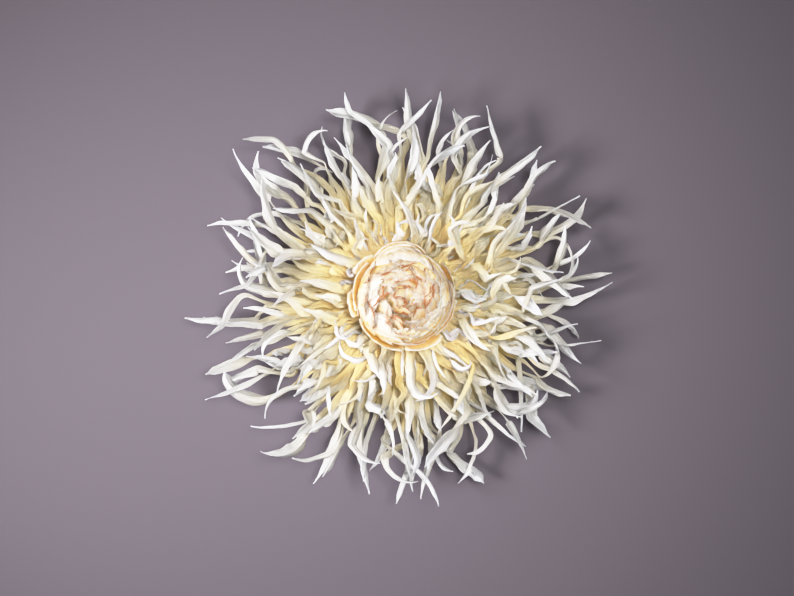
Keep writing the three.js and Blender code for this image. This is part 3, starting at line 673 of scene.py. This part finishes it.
north = add(tree, "ShaderNodeMath", {0: north, 1: level}, operation="MULTIPLY")[0]
place = add(tree, "ShaderNodeCombineXYZ", {0: east, 1: north, 2: height})[0]
sheet = add(tree, "GeometryNodeSetPosition", {"Geometry": sheet, "Position": place})[0]
sheet = add(tree, "GeometryNodeSetShadeSmooth", {"Geometry": sheet, "Shade Smooth": True})[0]
sheet = add(tree, "GeometryNodeRealizeInstances", {"Geometry": sheet})[0]
sheet = add(tree, "GeometryNodeSetMaterial", {"Geometry": sheet, "Material": given["Paper"]})[0]
add(tree, "NodeGroupOutput", {0: sheet})


def make_cup(name, azimuth, half_width, foot_angle, rim_angle, foot_radius, rim_radius, seed, paper,
             stands_for=None, swell=4.0, tuck=2.0, hug=2.0, curl=2.0, rounding=0.2, spiral=0.0, crumple=8.0,
             ruffle=7.0, ruffle_span=13.0, ragged=0.05, cells=(33, 21), axis=(0, 0)):
    """One cupped petal of the bud; angles in degrees, from the flower's axis, and lengths in mm."""
    # Ruffles are ruffle_span apart, however long the rim is.
    pitch = max(rim_radius * math.sin(math.radians(rim_angle)), 9.0) / ruffle_span
    sizes = {"Cells Across": cells[0], "Cells Along": cells[1], "Middle Height": BUD_MIDDLE * MM,
             "Azimuth": math.radians(azimuth), "Half Width": math.radians(half_width),
             "Foot Angle": math.radians(foot_angle), "Rim Angle": math.radians(rim_angle),
             "Foot Radius": foot_radius * MM, "Rim Radius": rim_radius * MM, "Swell": swell * MM,
             "Tuck": tuck * MM, "Hug": hug * MM, "Curl": curl * MM, "Rounding": rounding,
             "Spiral": math.radians(spiral), "Crumple": math.radians(crumple), "Ruffle": ruffle * MM,
             "Ruffle Pitch": pitch, "Ragged": ragged, "Seed": float(seed), "Paper": paper}
    cup = plain_mesh(bpy.data.meshes.new(name), cup_tree, sizes, name)
    cup.data.transform(Matrix.Translation((axis[0] * MM, 0, axis[1] * MM)))
    if stands_for:
        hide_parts(stands_for)
    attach(cup, "root")


# Finer crepe, stretched nearly flat: honey-coloured over most of its length and cream at its rim, with faint
# ridges, and thin enough to glow when light falls behind it.
cream_crepe = crepe_paper(
    "cream_crepe_dyed",
    [(0.0, "#F8C86E"), (1.0, "#FFFDFA"), (0.6, "#F8D68C"), (0.82, "#F8E8C4"), (0.92, "#FFFAF0")],
    glow=0.54, grain=0.4)
# Each ring of cups: name, count, where it starts (share of a cup), half width, foot angle, rim angle, foot
# radius, rim radius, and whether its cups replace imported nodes.
for ring, count, start, half_width, foot_angle, rim_angle, foot_radius, rim_radius, packed in (
        ("bud_sepal", 6, 0.6, 38, 94, 62, 61, 78, False),
        ("bud_cup", 7, 0.25, 34, 86, 50, 64, 82, True),
        ("bud_cup_lining", 7, 0.75, 32, 78, 41, 68, 84, False),
        ("bud_cup_filler", 6, 0.2, 36, 66, 37, 74, 84, False)):
    for number in range(count):
        chance = random.Random(f"{ring}{number}")
        label = f"{ring}_{number + 1}"
        make_cup(label + "_paper" if packed else label,
                 360 * (number + start) / count + chance.uniform(-8, 8),
                 half_width * chance.uniform(0.85, 1.1), foot_angle, rim_angle + chance.uniform(-7, 7),
                 foot_radius, rim_radius + chance.uniform(-3, 4), chance.randrange(900), cream_crepe,
                 label if packed else None, swell=7, ruffle=14,
                 spiral=chance.uniform(-7, 7), curl=chance.uniform(-2, 8), rounding=0.3)
# Thin cups lie one in another like an onion's skins on the right.
for number in range(11):
    chance = random.Random(f"nested{number}")
    make_cup(f"bud_nested_{number + 1}", -14 + 34 * math.sin(2.4 * number), 36, 84 - 2 * number,
             61 - 2.6 * number, 64, 83 + 0.4 * number, chance.randrange(900), cream_crepe,
             swell=8, ruffle=9, spiral=chance.uniform(-5, 5), curl=chance.uniform(4, 8), rounding=0.4, hug=9)
# Looser cups stand open all round the bud: azimuth, rim angle, rim radius and half width of each.
for number, (azimuth, rim_angle, rim_radius, half_width) in enumerate((
        (164, 61, 91, 31), (236, 62, 91, 31), (200, 53, 83, 31), (128, 54, 82, 31), (58, 61, 82, 31),
        (74, 53, 82, 31), (293, 64, 94, 22), (334, 58, 91, 24), (22, 59, 92, 21), (272, 52, 88, 24),
        (186, 66, 95, 15), (140, 66, 96, 14))):
    chance = random.Random(f"open{number}")
    make_cup(f"bud_open_{number + 1}", azimuth, half_width, 86, rim_angle, 64, rim_radius,
             chance.randrange(900), cream_crepe, swell=7, ruffle=9,
             spiral=chance.uniform(-5, 5), curl=6, rounding=0.42, hug=9)
# A side bud at the top: half cups one inside another round their own middle.
SIDE_BUD = (-4, 42)      # its middle, from the flower's middle, mm
for number in range(6):
    chance = random.Random(f"side{number}")
    make_cup(f"side_bud_{number + 1}", 92 + chance.uniform(-9, 9), 62 - 3 * number, 100, 66 - 5 * number,
             46 - 2 * number, 52 - 4 * number, chance.randrange(900), cream_crepe, tuck=1,
             ruffle=9, spiral=chance.uniform(-4, 4), rounding=0.3, axis=SIDE_BUD)

# ---------------------------------------------------------------- bud ring
# Smaller cups of crepe glued inside the others, undyed at their tops, with torn rims touched with rust ink;
# then the heart, one strip rolled up and crumpled.
# White crepe, dyed at its foot and inked at its torn rim: off-white, with blurred rust-brown edges.
blush_crepe = crepe_paper(
    "white_crepe_blushed",
    [(0.0, "#DCA65C"), (1.0, "#E8E0DA"), (0.45, "#DFBA82"), (0.72, "#DCCBB0")],
    glow=0.38, grain=0.5, scorched=1.0)
# Each ring: as for the cups, with its slot before the last.
for ring, count, start, half_width, foot_angle, rim_angle, foot_radius, rim_radius, slot, packed in (
        ("bud_ring", 5, 0.5, 40, 62, 34, 76, 88, "crepe_bud_white", True),
        ("bud_ring_lining", 9, 0.0, 24, 54, 29, 77, 88, "crepe_bud_white", False),
        ("bud_ring_filler", 9, 0.4, 24, 46, 24, 77, 88, "crepe_bud_white", False),
        ("bud_inner", 4, 0.1, 44, 46, 20, 76, 87, "crepe_blush", True),
        ("bud_inner_lining", 8, 0.6, 30, 38, 15, 77, 87, "crepe_blush", False)):
    for number in range(count):
        chance = random.Random(f"{ring}{number}")
        label = f"{ring}_{number + 1}"
        make_cup(label + "_paper" if packed else label,
                 360 * (number + start) / count + chance.uniform(-14, 14),
                 half_width * chance.uniform(0.8, 1.1), foot_angle, rim_angle + chance.uniform(-4, 5),
                 foot_radius, rim_radius + chance.uniform(-3, 4), chance.randrange(900), blush_crepe,
                 label if packed else None, ruffle=14, crumple=10, spiral=chance.uniform(-5, 5), ragged=0.14,
                 ruffle_span=10, curl=chance.uniform(2, 8), rounding=0.45, tuck=3)
# Broad smooth petals fold in over the ring, most of them from the left.
# White crepe, barely tinted at its foot and stretched until its ridges are almost gone: soft, plain and pale.
undyed_crepe = crepe_paper(
    "undyed_crepe_soft",
    [(0.0, "#FBD084"), (1.0, "#FAF6F2"), (0.45, "#FAE0B0"), (0.75, "#F8ECDA")],
    glow=0.45, grain=0.35)
for number, (azimuth, rim_angle) in enumerate((
        (150, 28), (186, 26), (220, 30), (172, 35), (205, 38), (244, 33), (112, 42), (84, 41))):
    chance = random.Random(f"white{number}")
    make_cup(f"bud_white_{number + 1}", azimuth, 24, 78, rim_angle, 72, 90, chance.randrange(900),
             undyed_crepe, swell=7, ruffle=9, spiral=chance.uniform(-6, 6), curl=3,
             rounding=0.3, hug=7)
# The heart's strip winds two and a half turns and more round the middle, so it is many cells long.
HEART_HALF_TURN = 360 * 1.3
make_cup("bud_heart_paper", 0, HEART_HALF_TURN, 26, 11, 74, 88, 130, blush_crepe, "bud_heart",
         tuck=0, spiral=8.5, crumple=22, ruffle=16, ragged=0.2, ruffle_span=11, cells=(230, 15), swell=0,
         hug=0)
# Three small petals lean over the heart's middle and close it.
for number in range(3):
    chance = random.Random(f"closing{number}")
    make_cup(f"bud_closing_{number + 1}", 120 * number + chance.uniform(-20, 20), 72, 28, -12 + 5 * number,
             76, 86 + number, chance.randrange(900), blush_crepe, crumple=14, ruffle=14,
             ragged=0.16, ruffle_span=9, rounding=0.5, hug=3)

# ---------------------------------------------------------------- stage
# A plain painted wall behind the flower, a pale floor below it, and soft light from the left.
# Matt emulsion on plaster, rolled: a dull purplish grey with a faint stipple. It is clear from behind, so
# that the flower's back can be seen.
wall_paint, tree = new_material("matt_wall_paint")
place = add(tree, "ShaderNodeTexCoord")["Object"]
roller = add(tree, "ShaderNodeTexNoise", {"Vector": place, "Scale": 260.0, "Detail": 3.0})[0]
relief = add(tree, "ShaderNodeBump", {"Height": roller, "Strength": 0.08, "Distance": 0.001})[0]
skin = add(tree, "ShaderNodeBsdfPrincipled", {"Base Color": srgb("#544E57"), "Roughness": 0.9,
                                              "Normal": relief, "Specular IOR Level": 0.2})[0]
clear = add(tree, "ShaderNodeBsdfTransparent")[0]
behind = add(tree, "ShaderNodeNewGeometry")["Backfacing"]
both = add(tree, "ShaderNodeMixShader", {0: behind, 1: skin, 2: clear})[0]
add(tree, "ShaderNodeOutputMaterial", {"Surface": both})
# Pale floor paint, rolled: even, dull and a little cloudy.
floor_paint, tree = new_material("pale_floor_paint")
place = add(tree, "ShaderNodeTexCoord")["Object"]
cloud = add(tree, "ShaderNodeTexNoise", {"Vector": place, "Scale": 3.0, "Detail": 3.0})[0]
shade = add(tree, "ShaderNodeValToRGB", {"Fac": cloud}, stops=[(0.3, "#D5D2CE"), (0.7, "#DAD7D3")])[0]
skin = add(tree, "ShaderNodeBsdfPrincipled", {"Base Color": shade, "Roughness": 0.8})[0]
add(tree, "ShaderNodeOutputMaterial", {"Surface": skin})
FLOOR_Z = -1.3      # metres, like all of the stage
WALL_Y = 0.0006     # just behind the back cover
WALL_TOP = 4
FAR = 7             # how far the wall and the floor go
for name, corners, paint in (
        ("wall", [(-FAR, WALL_Y, FLOOR_Z), (FAR, WALL_Y, FLOOR_Z), (FAR, WALL_Y, WALL_TOP),
                  (-FAR, WALL_Y, WALL_TOP)], wall_paint),
        ("floor", [(-FAR, -FAR, FLOOR_Z), (FAR, -FAR, FLOOR_Z), (FAR, FAR, FLOOR_Z),
                   (-FAR, FAR, FLOOR_Z)], floor_paint)):
    plane = bpy.data.meshes.new(name)
    plane.from_pydata(corners, [], [(0, 1, 2, 3)])
    plane.materials.append(paint)
    surface = bpy.data.objects.new(name, plane)
    bpy.context.scene.collection.objects.link(surface)
    if name == "wall":
        surface.visible_shadow = False

world = bpy.data.worlds.new("soft_room_light")
bpy.context.scene.world = world
world.use_nodes = True
world.node_tree.nodes["Background"].inputs["Color"].default_value = srgb("#F4EFEC")
world.node_tree.nodes["Background"].inputs["Strength"].default_value = 0.13
# Each lamp: place, what it points at, width, watts, spread in degrees, and colour.
for name, place, aim, size, power, spread, colour in (
        ("window", (-1.75, -1.5, -0.35), (-0.05, 0.0, 0.03), 0.8, 17.6, 66, "#FFFBFC"),
        ("front_fill", (0.6, -3.4, 0.35), (-0.14, 0.0, -0.06), 1.2, 8.3, 38, "#FCF9F3"),
        ("middle_fill", (0.5, -3.4, 0.5), (0.0, 0.0, 0.0), 0.2, 0.33, 6, "#FFFDF8"),
        ("back_ceiling", (0.5, 3.4, 2.6), (0.0, 1.4, -1.3), 2.0, 90.0, 120, "#FFFFFF"),
        ("back_glow", (0.6, 2.4, 0.8), (0.0, 0.0, 0.0), 1.6, 30.0, 180, "#FFFFFF")):
    lamp = bpy.data.lights.new(name, "AREA")
    lamp.shape = "DISK"
    lamp.size = size
    lamp.energy = power
    lamp.spread = math.radians(spread)
    lamp.color = srgb(colour)[:3]
    held = bpy.data.objects.new(name, lamp)
    held.location = place
    held.rotation_euler = (Vector(aim) - Vector(place)).to_track_quat("-Z", "Y").to_euler()
    bpy.context.scene.collection.objects.link(held)

# The camera stands 3 m off, level with the flower's middle.
view = bpy.data.cameras.new("front_view")
view.sensor_width = 36.0
view.lens = 81.6
camera = bpy.data.objects.new("front_view", view)
camera.location = (-0.0117, -3.03, 0.0)
camera.rotation_euler = (math.pi / 2, 0.0, 0.0)
bpy.context.scene.collection.objects.link(camera)
bpy.context.scene.camera = camera
# The brightest paper rolls off softly towards white, as film does.
tones = bpy.context.scene.view_settings
tones.view_transform = "Standard"
tones.use_curve_mapping = True
tones.curve_mapping.white_level = (2.0, 2.0, 2.0)
shoulder = tones.curve_mapping.curves[3]
shoulder.points[1].location = (1.0, 1.0)
for light, shown in ((0.25, 0.5), (0.375, 0.705), (0.5, 0.84), (0.7, 0.95)):
    shoulder.points.new(light, shown)
tones.curve_mapping.update()
